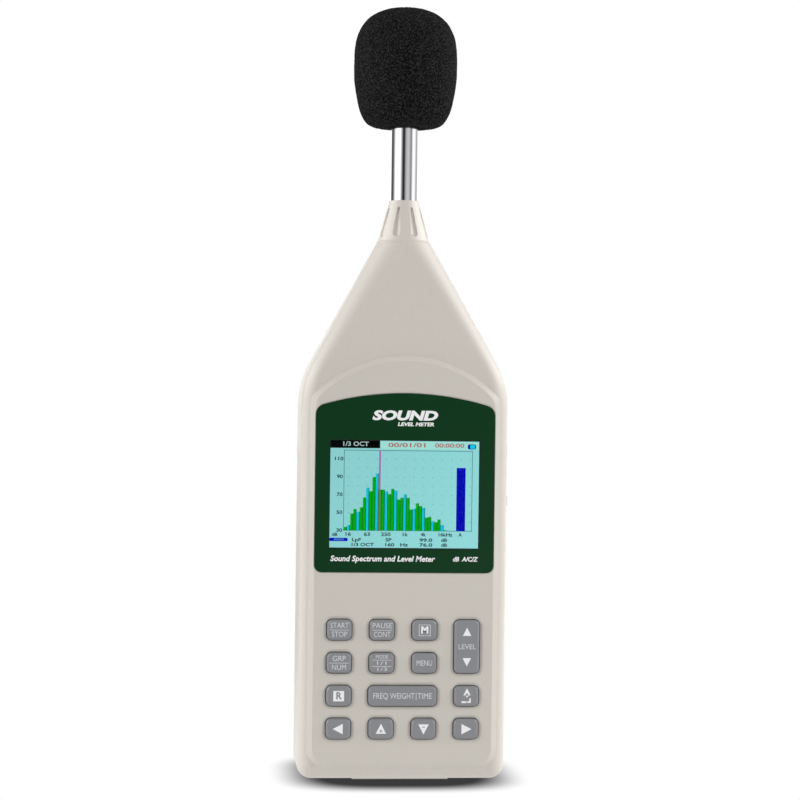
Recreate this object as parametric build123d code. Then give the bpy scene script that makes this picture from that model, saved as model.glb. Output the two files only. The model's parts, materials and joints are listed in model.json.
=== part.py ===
from build123d import *
import math
import os

# A hand-held sound level meter, standing upright on its foot.
# Millimetres. +Z is up, the display faces -Y, and +X is on the right of a person reading the display.
# The origin is in the middle of the underside of the foot pad.

# ---------------------------------------------------------------- driving dimensions

# Body: two moulded shells that meet on a plane across the depth.
BODY_HALF_WIDTH = 48.5
BODY_HALF_DEPTH = 25.0
BODY_BASE_Z = 0.6
NECK_TOP_Z = 251.7
NECK_RADIUS = 12.7
EDGE_RADIUS = 7.0
NECK_EDGE_RADIUS = 12.2
SHOULDER_Z = 184.8
SHOULDER_RADIUS = 43.0
FRONT_SLOPE_Z = 195.0
FRONT_SLOPE_RADIUS = 90.0
LOFT_START_Z = 150.0
WALL = 2.2
PARTING_Y = 1.0
SEAM_HALF_WIDTH = 0.3
SEAM_DEPTH = 0.5
BOTTOM_RADIUS = 6.8
INNER_Y = BODY_HALF_DEPTH - WALL
INNER_X = BODY_HALF_WIDTH - WALL

# Raised panel on the front shell, with a bevelled edge and an arched top.
PANEL_RISE = 1.5
PANEL_FRONT_Y = -(BODY_HALF_DEPTH + PANEL_RISE)
PANEL_HALF_WIDTH = 44.0
PANEL_BEVEL = 2.3
PANEL_LOW_Z = 6.2
PANEL_APEX_Z = 197.7
PANEL_SIDE_Z = 178.0
PANEL_LOW_RADIUS = 9.0
PANEL_TOP_RADIUS = 7.0

# Printed sheet around the display, and the display itself.
OVERLAY_HALF_WIDTH = 41.7
OVERLAY_LOW_Z = 97.1
OVERLAY_APEX_Z = 180.3
OVERLAY_SIDE_Z = 173.8
OVERLAY_THICKNESS = 0.4
OVERLAY_RECESS = 0.5
OVERLAY_FIT = 0.15
LIP_WIDTH = 0.7
LIP_DEPTH = 0.35
SCREEN_WIDTH = 70.2
SCREEN_HEIGHT = 50.6
SCREEN_Z = 133.3
BEZEL_MARGIN = 3.6
WINDOW_THICKNESS = 1.1
LCD_FRONT_Y = -23.9
LCD_GLASS = 1.6

# Keys: four columns and four rows.
KEY_COLUMNS = (-29.7, -9.9, 9.9, 29.7)
KEY_ROWS = (70.5, 55.2, 39.9, 24.7)
KEY_HOLE = (12.2, 10.2)
LEVEL_HOLE = (12.5, 25.5)
WEIGHT_HOLE = (32.6, 10.2)
KEY_GAP = 0.35
KEY_RIM = 1.3
KEY_RIM_DEPTH = 0.6
KEY_SLOPE = 0.8
KEY_PROUD = 1.2
KEY_CORNER = 2.4
FLANGE_EXTRA = 0.7
FLANGE_FRONT_Y = -22.6
FLANGE_BACK_Y = -21.6
MAT_FRONT_Y = -20.5
MAT_THICKNESS = 1.0

# Boards.
BOARD_FRONT_Y = -19.4
BOARD_THICKNESS = 1.6
BOARD_BACK_Y = BOARD_FRONT_Y + BOARD_THICKNESS
BOARD_HALF_WIDTH = 38.4
BOARD_Z = (9.0, 176.0)

# Screws, all driven from behind.
CASE_SCREW_PLACES = ((-42.8, 12.0), (42.8, 12.0), (-42.8, 160.0), (42.8, 160.0))
BOSS_RADIUS = 3.8
SCREW_SHANK = 1.45
SCREW_HEAD = 2.7
SCREW_SEAT_Y = 12.0
SCREW_FIT = 0.05
BOARD_SCREW_PLACES = tuple((x, z) for z in (12.0, 88.0, 170.5) for x in (-33.0, 33.0))
BOARD_SCREW_SHANK = 1.0

# Batteries: four C cells in two columns.
CELL_RADIUS = 13.1
CELL_LENGTH = 50.0
CELL_NUB = 2.0
CELL_X = 14.0
CELL_Y = 8.2
TRAY_HALF_WIDTH = 29.8
TRAY_WALL = 1.5
TRAY_Y = (-6.6, 19.8)
TRAY_Z = (16.0, 126.2)
CONTACT_THICKNESS = 0.4
SPRING_HEIGHT = 4.0

# Battery door in the back, on a lip at its lower edge.
DOOR_HALF_WIDTH = 27.7
DOOR_Z = (17.8, 124.2)
DOOR_GAP = 0.3
DOOR_CORNER = 3.0

# Sockets and switch on the right-hand side.
SOCKET_Y = -14.8
AUDIO_Z = (108.0, 96.0)
AUDIO_BORE = 1.8
AUDIO_BUSH = 3.0
DC_Z = 84.0
DC_BORE = 2.8
DATA_Z = 70.0
SWITCH_Y = -10.0
SWITCH_Z = 130.4
SWITCH_TRAVEL = 4.0
KNOB_SIZE = (3.4, 4.0)
KNOB_PROUD = 1.3

# Tripod insert in the back.
TRIPOD_Z = 138.0
TRIPOD_BORE = 2.55
INSERT_RADIUS = 4.5
INSERT_LENGTH = 8.0

# Nose, stem, microphone and windscreen, all round about the Z axis.
CONE_TOP_Z = 271.7
CONE_TOP_RADIUS = 6.9
CONE_RING = 0.5
CONE_SPIGOT = 10.2
CONE_SPIGOT_Z = 246.0
FLUTES = 8
STEM_RADIUS = 6.35
STEM_BORE = 5.4
STEM_Z = (236.0, 318.0)
CAPSULE_RADIUS = 6.6
CAPSULE_TOP_Z = 331.0
MIC_TIP_Z = 340.0
SCREEN_BORE = 6.95
FOAM_LOW_Z = 306.7
FOAM_TOP_Z = 362.8

FOOT_SIZE = (45.0, 36.0)
FOOT_THICKNESS = 1.2

parts = {}


# ---------------------------------------------------------------- helpers

def front_plane(y):
    """The front view at depth y: sketch X is +X and sketch Y is +Z."""
    return Plane(origin=(0, y, 0), x_dir=(1, 0, 0), z_dir=(0, -1, 0))


def slab(sketch, y_from, y_to):
    """A front-view sketch as a block between two depths, y_from nearer the front."""
    return extrude(front_plane(y_to) * sketch, amount=y_to - y_from)


def block(x, y, z):
    """A box from its lowest to its highest value along each axis."""
    size = (x[1] - x[0], y[1] - y[0], z[1] - z[0])
    return Pos((x[0] + x[1]) / 2, (y[0] + y[1]) / 2, (z[0] + z[1]) / 2) * Box(*size)


def rod_y(x, z, radius, y_from, y_to):
    """A round bar along Y."""
    return slab(Pos(x, z) * Circle(radius), y_from, y_to)


def rod_x(y, z, radius, x_from, x_to):
    """A round bar along X."""
    start = Plane(origin=(x_from, y, z), x_dir=(0, 1, 0), z_dir=(1, 0, 0))
    return extrude(start * Circle(radius), amount=x_to - x_from)


def rod_z(x, y, radius, z_from, z_to):
    """A round bar along Z."""
    return extrude(Pos(x, y, z_from) * Circle(radius), amount=z_to - z_from)


def arched(half_width, low_z, side_z, apex_z, low_radius, top_radius):
    """A front-view outline with a straight foot and sides and an arched top."""
    sides = Polyline((-half_width, side_z), (-half_width, low_z), (half_width, low_z), (half_width, side_z))
    arch = ThreePointArc((half_width, side_z), (0, apex_z), (-half_width, side_z))
    outline = make_face(sides.edges() + arch.edges())
    outline = fillet(outline.vertices().group_by(Axis.Y)[0], low_radius)
    return fillet(outline.vertices().group_by(Axis.Y)[-1], top_radius)


def tube_path(points, radius, bend):
    """A lead: a round tube along straight runs joined by arcs."""
    path = FilletPolyline(*points, radius=bend)
    start = Plane(origin=path @ 0, z_dir=path % 0)
    return sweep(start * Circle(radius), path=path)


# ---------------------------------------------------------------- body

def bent_line(z, wide, narrow, corner_z, radius):
    """Half a size at height z: straight up, an arc about corner_z, then straight in to the neck."""
    lean = math.atan((wide - narrow) / (NECK_TOP_Z - corner_z))
    tangent = radius * math.tan(lean / 2)
    if z <= corner_z - tangent:
        return wide
    if z >= corner_z + tangent * math.cos(lean):
        return wide - (z - corner_z) * math.tan(lean)
    return wide - radius + math.sqrt(radius ** 2 - (z - corner_z + tangent) ** 2)


def body_section(z, inset):
    """The body's cross-section at height z, smaller by inset all round."""
    half_width = bent_line(z, BODY_HALF_WIDTH, NECK_RADIUS, SHOULDER_Z, SHOULDER_RADIUS) - inset
    half_depth = bent_line(z, BODY_HALF_DEPTH, NECK_RADIUS, FRONT_SLOPE_Z, FRONT_SLOPE_RADIUS) - inset
    rise = max(0.0, z - LOFT_START_Z) / (NECK_TOP_Z - LOFT_START_Z)
    corner = EDGE_RADIUS + (NECK_EDGE_RADIUS - EDGE_RADIUS) * rise ** 2 - inset
    return Pos(0, 0, z) * RectangleRounded(2 * half_width, 2 * half_depth, corner)


def body_solid(inset, top_z=NECK_TOP_Z):
    """The whole body as one solid: a box with a rounded foot, and a loft up to the neck."""
    foot_z = BODY_BASE_Z + inset
    foot = extrude(body_section(foot_z, inset), amount=LOFT_START_Z - foot_z)
    foot = fillet(foot.faces().sort_by(Axis.Z)[0].edges(), BOTTOM_RADIUS - inset)
    stations = [LOFT_START_Z, 157, 164, 169, 173, 177, 181, 185, 189, 193.5, 199, 205, 213, 223, 234, 243, top_z]
    return foot + loft([body_section(z, inset) for z in stations])


outer = body_solid(0.0)
cavity = body_solid(WALL, NECK_TOP_Z + 0.5)
seam = block((-60, 60), (PARTING_Y - SEAM_HALF_WIDTH, PARTING_Y + SEAM_HALF_WIDTH), (-5, 260))
seam -= body_solid(SEAM_DEPTH, NECK_TOP_Z + 0.5)
hollow_body = outer - cavity - seam
front_half = block((-60, 60), (-40, PARTING_Y), (-5, 260))
rear_half = block((-60, 60), (PARTING_Y, 40), (-5, 260))
foot_recess = block((-FOOT_SIZE[0] / 2, FOOT_SIZE[0] / 2), (-FOOT_SIZE[1] / 2, FOOT_SIZE[1] / 2),
                    (0, FOOT_THICKNESS))


def panel_outline(inset):
    """The raised panel's outline, drawn in by inset."""
    return arched(PANEL_HALF_WIDTH - inset, PANEL_LOW_Z + inset, PANEL_SIDE_Z - 0.4 * inset,
                  PANEL_APEX_Z - inset, PANEL_LOW_RADIUS - inset, PANEL_TOP_RADIUS)


def overlay_outline(grow):
    """The printed sheet's outline, larger by grow all round."""
    return arched(OVERLAY_HALF_WIDTH + grow, OVERLAY_LOW_Z - grow, OVERLAY_SIDE_Z + grow,
                  OVERLAY_APEX_Z + grow, 3.5 + grow, 5.0 + grow)


def screen_block(extra, y_from, y_to, corner=1.0):
    """A block over the screen, larger by extra all round."""
    size = RectangleRounded(SCREEN_WIDTH + 2 * extra, SCREEN_HEIGHT + 2 * extra, corner)
    return slab(Pos(0, SCREEN_Z) * size, y_from, y_to)


def key_hole(place, size):
    """A hole through the front wall for one key, with a wide chamfer round its mouth."""
    hole = slab(Pos(*place) * RectangleRounded(size[0], size[1], KEY_CORNER + 0.4), -30, -20)
    mouth = [front_plane(PANEL_FRONT_Y + depth) * Pos(*place)
             * RectangleRounded(size[0] + 2 * grow, size[1] + 2 * grow, KEY_CORNER + 0.4 + grow)
             for depth, grow in ((KEY_RIM_DEPTH, 0.0), (-KEY_RIM_DEPTH / 6, KEY_RIM * 7 / 6))]
    return hole + loft(mouth, ruled=True)


# Every key: name, place (x, z), hole size and kind.
LEVEL_PLACE = (KEY_COLUMNS[3], (KEY_ROWS[0] + KEY_ROWS[1]) / 2)
WEIGHT_PLACE = (0.0, KEY_ROWS[2])
PUSH_KEYS = {
    "key_start_stop": (0, 0), "key_pause": (1, 0), "key_memory": (2, 0),
    "key_group_number": (0, 1), "key_band_mode": (1, 1), "key_menu": (2, 1),
    "key_record": (0, 2), "key_enter": (3, 2),
    "key_left": (0, 3), "key_up": (1, 3), "key_down": (2, 3), "key_right": (3, 3),
}
push_places = {name: (KEY_COLUMNS[column], KEY_ROWS[row]) for name, (column, row) in PUSH_KEYS.items()}


def switch_slot():
    """The power switch's slot and shallow recess in the right-hand wall."""
    half_y = KNOB_SIZE[0] / 2 + 0.3
    low = SWITCH_Z - KNOB_SIZE[1] / 2 - 0.3
    high = SWITCH_Z + KNOB_SIZE[1] / 2 + SWITCH_TRAVEL + 0.3
    slot = block((INNER_X - 1, 60), (SWITCH_Y - half_y, SWITCH_Y + half_y), (low, high))
    recess = block((BODY_HALF_WIDTH - 0.7, 60), (SWITCH_Y - half_y - 1, SWITCH_Y + half_y + 1),
                   (low - 1.5, high + 1.5))
    return slot + recess


def socket_holes():
    """Holes in the right-hand wall for the round and rectangular sockets."""
    holes = block((INNER_X - 1, 60), (SOCKET_Y - 2.2, SOCKET_Y + 2.2), (DATA_Z - 4.6, DATA_Z + 4.6))
    for z in AUDIO_Z:
        holes += rod_x(SOCKET_Y, z, AUDIO_BUSH + SCREW_FIT, INNER_X - 1, 60)
    return holes + rod_x(SOCKET_Y, DC_Z, 3.8 + SCREW_FIT, INNER_X - 1, 60)


def make_front_case():
    """Front shell with its raised panel, key holes, screw bosses and board standoffs."""
    shell = hollow_body & front_half
    bevel = loft([front_plane(-BODY_HALF_DEPTH) * panel_outline(0.0),
                  front_plane(PANEL_FRONT_Y) * panel_outline(PANEL_BEVEL)], ruled=True)
    shell += slab(panel_outline(0.0), -BODY_HALF_DEPTH, -23.2) + bevel
    for x, z in CASE_SCREW_PLACES:
        shell += rod_y(x, z, BOSS_RADIUS, -INNER_Y - 0.5, PARTING_Y) & outer
        shell -= rod_y(x, z, SCREW_SHANK + SCREW_FIT, -14.5, PARTING_Y + 1)
    for x, z in BOARD_SCREW_PLACES:
        shell += rod_y(x, z, 2.6, -INNER_Y - 0.3, BOARD_FRONT_Y)
        shell -= rod_y(x, z, BOARD_SCREW_SHANK + SCREW_FIT, -24.2, BOARD_FRONT_Y + 1)
    shell -= slab(overlay_outline(OVERLAY_FIT), -30, PANEL_FRONT_Y + OVERLAY_RECESS)
    shell -= loft([front_plane(PANEL_FRONT_Y + LIP_DEPTH) * overlay_outline(OVERLAY_FIT),
                   front_plane(PANEL_FRONT_Y - LIP_DEPTH / 4) * overlay_outline(OVERLAY_FIT + LIP_WIDTH * 1.25)],
                  ruled=True)
    window_back = PANEL_FRONT_Y + OVERLAY_RECESS + WINDOW_THICKNESS
    shell -= screen_block(2.15, -28, window_back)
    shell -= screen_block(0.4, -28, -18)
    shell -= screen_block(BEZEL_MARGIN + 0.2, LCD_FRONT_Y - 0.1, -22)
    for place in push_places.values():
        shell -= key_hole(place, KEY_HOLE)
    shell -= key_hole(LEVEL_PLACE, LEVEL_HOLE)
    shell -= key_hole(WEIGHT_PLACE, WEIGHT_HOLE)
    for side in (-1, 1):
        rail = sorted((side * (BODY_HALF_WIDTH - 1.0), side * (INNER_X - 0.2)))
        shell -= block(rail, (PARTING_Y - 1.8, PARTING_Y + 1), (24.8, 150.2))
    shell -= switch_slot()
    shell -= socket_holes()
    shell -= foot_recess
    return shell


def make_rear_case():
    """Rear shell with the battery opening, screw wells, tripod boss and locating rails."""
    shell = hollow_body & rear_half
    for x, z in CASE_SCREW_PLACES:
        shell += rod_y(x, z, BOSS_RADIUS, PARTING_Y, INNER_Y + 0.5) & outer
        shell -= rod_y(x, z, SCREW_HEAD + 0.3, SCREW_SEAT_Y, 30)
        shell -= rod_y(x, z, SCREW_SHANK + SCREW_FIT, PARTING_Y - 1, SCREW_SEAT_Y + 1)
    insert_end = BODY_HALF_DEPTH - INSERT_LENGTH
    shell += rod_y(0, TRIPOD_Z, INSERT_RADIUS + 3.0, insert_end - 2.0, INNER_Y + 0.5)
    shell -= rod_y(0, TRIPOD_Z, INSERT_RADIUS, insert_end - 0.1, 30)
    opening_z = (DOOR_Z[0] - DOOR_GAP, DOOR_Z[1] + DOOR_GAP)
    opening = RectangleRounded(2 * (DOOR_HALF_WIDTH + DOOR_GAP), opening_z[1] - opening_z[0], DOOR_CORNER)
    shell -= slab(Pos(0, sum(opening_z) / 2) * opening, INNER_Y - 1, 30)
    for side in (-1, 1):
        rail = sorted((side * (BODY_HALF_WIDTH - 1.15), side * (INNER_X - 0.05)))
        shell += block(rail, (PARTING_Y - 1.5, PARTING_Y + 2), (25, 150))
        ledge = sorted((side * (DOOR_HALF_WIDTH + DOOR_GAP + 0.3), side * TRAY_HALF_WIDTH))
        shell += block(ledge, (TRAY_Y[1], INNER_Y + 0.5), (30, 112))
    shell -= foot_recess
    return shell


parts["front_case"] = make_front_case()
parts["rear_case"] = make_rear_case()
parts["foot_pad"] = extrude(RectangleRounded(FOOT_SIZE[0] - 0.1, FOOT_SIZE[1] - 0.1, 0.5), amount=FOOT_THICKNESS)


# ---------------------------------------------------------------- display

parts["display_overlay"] = (
    slab(overlay_outline(0.0), PANEL_FRONT_Y + OVERLAY_RECESS - OVERLAY_THICKNESS, PANEL_FRONT_Y + OVERLAY_RECESS)
    - screen_block(0.0, -30, -20))
parts["display_window"] = screen_block(2.05, PANEL_FRONT_Y + OVERLAY_RECESS,
                                       PANEL_FRONT_Y + OVERLAY_RECESS + WINDOW_THICKNESS)
lcd_back_y = LCD_FRONT_Y + LCD_GLASS
parts["lcd_glass"] = screen_block(2.2, LCD_FRONT_Y, lcd_back_y, 0.5)
parts["lcd_backlight"] = screen_block(2.2, lcd_back_y, BOARD_FRONT_Y - 0.1, 0.5)
parts["lcd_bezel"] = (screen_block(BEZEL_MARGIN, LCD_FRONT_Y + 0.5, BOARD_FRONT_Y - 0.1, 1.5)
                      - screen_block(2.25, -30, -15, 0.5))


def make_lcd_ribbon():
    """Flat ribbon from under the display to its connector on the front of the board."""
    low_z = SCREEN_Z - SCREEN_HEIGHT / 2 - BEZEL_MARGIN
    down = block((-14, 14), (-21.0, -20.7), (low_z - 4.5, low_z))
    return down + block((-14, 14), (-21.0, BOARD_FRONT_Y), (low_z - 4.8, low_z - 4.5))


parts["lcd_ribbon"] = make_lcd_ribbon()


# ---------------------------------------------------------------- keys

def key_cap(size, back_y):
    """A key's visible head: straight through the wall, then sloping in to a flat top."""
    width = size[0] - 2 * KEY_GAP
    height = size[1] - 2 * KEY_GAP
    rim_y = PANEL_FRONT_Y - 0.2
    head = loft([front_plane(rim_y) * RectangleRounded(width, height, KEY_CORNER),
                 front_plane(PANEL_FRONT_Y - KEY_PROUD)
                 * RectangleRounded(width - 2 * KEY_SLOPE, height - 2 * KEY_SLOPE, KEY_CORNER - 0.6)],
                ruled=True)
    head = fillet(head.faces().sort_by(Axis.Y)[0].edges(), 0.3)
    return head + slab(RectangleRounded(width, height, KEY_CORNER), rim_y, back_y)


def push_key(place):
    """A key that goes straight in, kept by a flange behind the front wall."""
    flange = RectangleRounded(KEY_HOLE[0] + 2 * FLANGE_EXTRA, KEY_HOLE[1] + 2 * FLANGE_EXTRA, KEY_CORNER)
    return Pos(place[0], 0, place[1]) * (key_cap(KEY_HOLE, FLANGE_FRONT_Y)
                                         + slab(flange, FLANGE_FRONT_Y, FLANGE_BACK_Y))


ROCKER_BACK_Y = -21.6
TRUNNION_RADIUS = 0.8
TRUNNION_Y = -INNER_Y + TRUNNION_RADIUS + 0.1
for name, place in push_places.items():
    parts[name] = push_key(place)
level_key = key_cap(LEVEL_HOLE, ROCKER_BACK_Y)
level_key += rod_x(TRUNNION_Y, 0, TRUNNION_RADIUS, -LEVEL_HOLE[0] / 2 - 1.2, LEVEL_HOLE[0] / 2 + 1.2)
parts["key_level"] = Pos(LEVEL_PLACE[0], 0, LEVEL_PLACE[1]) * level_key
weight_key = key_cap(WEIGHT_HOLE, ROCKER_BACK_Y)
weight_key += rod_z(0, TRUNNION_Y, TRUNNION_RADIUS, -WEIGHT_HOLE[1] / 2 - 1.2, WEIGHT_HOLE[1] / 2 + 1.2)
parts["key_weight_time"] = Pos(WEIGHT_PLACE[0], 0, WEIGHT_PLACE[1]) * weight_key


def make_keypad_mat():
    """Silicone mat between the keys and the board, with a small dome behind each push key."""
    mat = block((-38, 38), (MAT_FRONT_Y, MAT_FRONT_Y + MAT_THICKNESS), (16.5, 79.5))
    for x, z in push_places.values():
        mat -= rod_y(x, z, 2.5, MAT_FRONT_Y + 0.6, MAT_FRONT_Y + 2)
    return mat


parts["keypad_mat"] = make_keypad_mat()


# ---------------------------------------------------------------- main board

def make_main_board():
    """Main board with its six screw holes."""
    board = block((-BOARD_HALF_WIDTH, BOARD_HALF_WIDTH), (BOARD_FRONT_Y, BOARD_BACK_Y), BOARD_Z)
    for x, z in BOARD_SCREW_PLACES:
        board -= rod_y(x, z, BOARD_SCREW_SHANK + 0.1, -22, -15)
    return board


def on_board(x, z, width, height, thick):
    """A flat package standing on the back of the board."""
    return block((x - width / 2, x + width / 2), (BOARD_BACK_Y, BOARD_BACK_Y + thick),
                 (z - height / 2, z + height / 2))


parts["main_board"] = make_main_board()
parts["board_chips"] = Compound(children=[
    on_board(-17, 148, 20, 20, 1.6), on_board(14, 148, 14, 14, 1.4), on_board(-22, 118, 12, 18, 1.4),
    on_board(8, 122, 18, 8, 1.4), on_board(-10, 92, 16, 16, 1.6), on_board(16, 96, 10, 10, 1.4),
    on_board(-24, 62, 12, 8, 1.4), on_board(4, 60, 9, 9, 2.5), on_board(18, 40, 14, 6, 1.4)])
LEAD_Y = BOARD_BACK_Y + 3.0
CONNECTOR_TOP_Z = 167.0
BATTERY_LEAD_Z = 134.0
parts["board_connectors"] = Compound(children=[
    on_board(0, CONNECTOR_TOP_Z - 3, 10, 6, 6.0), on_board(0, BATTERY_LEAD_Z, 9, 6, 6.0)])


# ---------------------------------------------------------------- power switch and sockets

def make_switch_knob():
    """The power switch's sliding knob, ribbed where a thumb pushes it."""
    half_y = KNOB_SIZE[0] / 2
    half_z = KNOB_SIZE[1] / 2
    tip = BODY_HALF_WIDTH + KNOB_PROUD
    knob = block((42.6, tip), (SWITCH_Y - half_y, SWITCH_Y + half_y), (SWITCH_Z - half_z, SWITCH_Z + half_z))
    for offset in (-1.1, 0.0, 1.1):
        middle = SWITCH_Z + offset
        knob -= block((tip - 0.4, tip + 1), (SWITCH_Y - 3, SWITCH_Y + 3), (middle - 0.25, middle + 0.25))
    return knob


parts["power_switch_knob"] = make_switch_knob()
parts["power_switch_body"] = block((36.0, 42.4), (BOARD_BACK_Y, SWITCH_Y + 3.5), (SWITCH_Z - 8, SWITCH_Z + 12))


def round_socket(z, bush, bore, depth, start_x):
    """A round socket: a block on the board's edge and a bush through the wall."""
    socket = block((start_x, INNER_X - 0.1), (BOARD_BACK_Y, BOARD_BACK_Y + 7.0), (z - 4.5, z + 4.5))
    socket += rod_x(SOCKET_Y, z, bush, INNER_X - 0.2, BODY_HALF_WIDTH - 0.1)
    return socket - rod_x(SOCKET_Y, z, bore, BODY_HALF_WIDTH - depth, BODY_HALF_WIDTH + 1)


def make_data_socket():
    """A small five-pin data socket: a thin shell round a tongue."""
    y = (SOCKET_Y - 2.0, SOCKET_Y + 2.0)
    z = (DATA_Z - 4.4, DATA_Z + 4.4)
    shell = block((40.5, BODY_HALF_WIDTH - 0.3), y, z)
    shell -= block((41.0, BODY_HALF_WIDTH + 1), (y[0] + 0.4, y[1] - 0.4), (z[0] + 0.4, z[1] - 0.4))
    shell += block((40.8, BODY_HALF_WIDTH - 2.0), (SOCKET_Y - 0.4, SOCKET_Y + 0.4), (DATA_Z - 2.8, DATA_Z + 2.8))
    return shell + block((40.5, 44.5), (BOARD_BACK_Y, y[0] + 0.2), (z[0] + 1, z[1] - 1))


parts["audio_jacks"] = Compound(children=[round_socket(z, AUDIO_BUSH, AUDIO_BORE, 14.0, 33.4) for z in AUDIO_Z])
parts["dc_jack"] = (round_socket(DC_Z, 3.8, DC_BORE, 10.0, 35.6)
                    + rod_x(SOCKET_Y, DC_Z, 1.0, 37.0, BODY_HALF_WIDTH - 1.5))
parts["data_socket"] = make_data_socket()


# ---------------------------------------------------------------- batteries

def cell(x, low_z, nub_up):
    """One C cell with its nub at one end."""
    can_low = low_z if nub_up else low_z + CELL_NUB
    can = rod_z(x, CELL_Y, CELL_RADIUS, can_low, can_low + CELL_LENGTH - CELL_NUB)
    can = fillet(can.edges(), 0.8)
    nub_low = low_z + CELL_LENGTH - CELL_NUB if nub_up else low_z
    return can + rod_z(x, CELL_Y, 3.3, nub_low, nub_low + CELL_NUB)


floor_z = TRAY_Z[0] + TRAY_WALL
ceiling_z = TRAY_Z[1] - TRAY_WALL
low_stack_z = floor_z + CONTACT_THICKNESS + SPRING_HEIGHT + 0.15
high_stack_z = floor_z + CONTACT_THICKNESS + 0.1
parts["battery_cells"] = Compound(children=[
    cell(-CELL_X, low_stack_z, True), cell(-CELL_X, low_stack_z + CELL_LENGTH + 0.1, True),
    cell(CELL_X, high_stack_z, False), cell(CELL_X, high_stack_z + CELL_LENGTH + 0.1, False)])


def contact_spring(x, low_z):
    """A flattened contact spring under or over one column of cells."""
    wire = 0.4
    coil = Pos(x, CELL_Y, low_z + wire) * Helix(pitch=1.4, height=SPRING_HEIGHT - 2 * wire, radius=5.5)
    start = Plane(origin=coil @ 0, z_dir=coil % 0)
    return sweep(start * Circle(wire), path=coil, is_frenet=True)


spring_top_z = ceiling_z - CONTACT_THICKNESS - SPRING_HEIGHT
parts["battery_springs"] = Compound(children=[
    contact_spring(-CELL_X, floor_z + CONTACT_THICKNESS + 0.05), contact_spring(CELL_X, spring_top_z - 0.05)])


def contact_plate(x, low_z):
    """A contact plate at one end of one column, or across both."""
    return block(x, (CELL_Y - 9, CELL_Y + 9), (low_z, low_z + CONTACT_THICKNESS))


parts["battery_plates"] = Compound(children=[
    contact_plate((-24, 24), floor_z), contact_plate((-23, -6), ceiling_z - CONTACT_THICKNESS),
    contact_plate((6, 23), ceiling_z - CONTACT_THICKNESS)])


def make_battery_tray():
    """Open tray that holds the cells, with a rib between the two columns."""
    half = TRAY_HALF_WIDTH
    tray = block((-half, half), TRAY_Y, TRAY_Z)
    tray -= block((-half + TRAY_WALL, half - TRAY_WALL), (TRAY_Y[0] + 1.3, 40), (floor_z, ceiling_z))
    return tray + block((-0.6, 0.6), (TRAY_Y[0] + 1, CELL_Y - 9.4), (floor_z, ceiling_z))


def make_battery_door():
    """Battery door with its lower lip, a stiffening rib and grip bars."""
    middle_z = sum(DOOR_Z) / 2
    outline = RectangleRounded(2 * DOOR_HALF_WIDTH, DOOR_Z[1] - DOOR_Z[0], DOOR_CORNER - DOOR_GAP)
    door = slab(Pos(0, middle_z) * outline, INNER_Y, BODY_HALF_DEPTH)
    door += block((-6, 6), (21.5, INNER_Y), (DOOR_Z[0] + 0.2, DOOR_Z[0] + 3))
    door += block((-6, 6), (21.5, INNER_Y - 0.4), (DOOR_Z[0] - 3.2, DOOR_Z[0] + 3))
    door += block((-20, 20), (21.8, INNER_Y), (DOOR_Z[1] - 3.5, DOOR_Z[1] - 2))
    for bar in range(4):
        low = DOOR_Z[1] - 15 + 2.6 * bar
        door += block((-8, 8), (BODY_HALF_DEPTH - 0.2, BODY_HALF_DEPTH + 0.5), (low, low + 1.1))
    return door


parts["battery_tray"] = make_battery_tray()
parts["battery_door"] = make_battery_door()


# ---------------------------------------------------------------- screws and insert

def case_screw(x, z):
    """A cross-headed screw deep in a well of the rear shell."""
    screw = rod_y(x, z, SCREW_SHANK, -13.0, SCREW_SEAT_Y) + rod_y(x, z, SCREW_HEAD, SCREW_SEAT_Y, SCREW_SEAT_Y + 2.2)
    for size in ((3.0, 0.7), (0.7, 3.0)):
        screw -= slab(Pos(x, z) * Rectangle(*size), SCREW_SEAT_Y + 1.2, SCREW_SEAT_Y + 4)
    return screw


def board_screw(x, z):
    """A short screw that holds the board to its standoff."""
    shank = rod_y(x, z, BOARD_SCREW_SHANK, -23.5, BOARD_BACK_Y)
    screw = shank + rod_y(x, z, 1.9, BOARD_BACK_Y, BOARD_BACK_Y + 1.4)
    return screw - slab(Pos(x, z) * Rectangle(2.4, 0.5), BOARD_BACK_Y + 0.8, BOARD_BACK_Y + 3)


parts["case_screws"] = Compound(children=[case_screw(x, z) for x, z in CASE_SCREW_PLACES])
parts["board_screws"] = Compound(children=[board_screw(x, z) for x, z in BOARD_SCREW_PLACES])
insert_y = (BODY_HALF_DEPTH - INSERT_LENGTH, BODY_HALF_DEPTH)
parts["tripod_insert"] = (rod_y(0, TRIPOD_Z, INSERT_RADIUS - 0.02, *insert_y)
                          - rod_y(0, TRIPOD_Z, TRIPOD_BORE, insert_y[0] - 1, insert_y[1] + 1))


# ---------------------------------------------------------------- nose, stem and microphone

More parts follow.
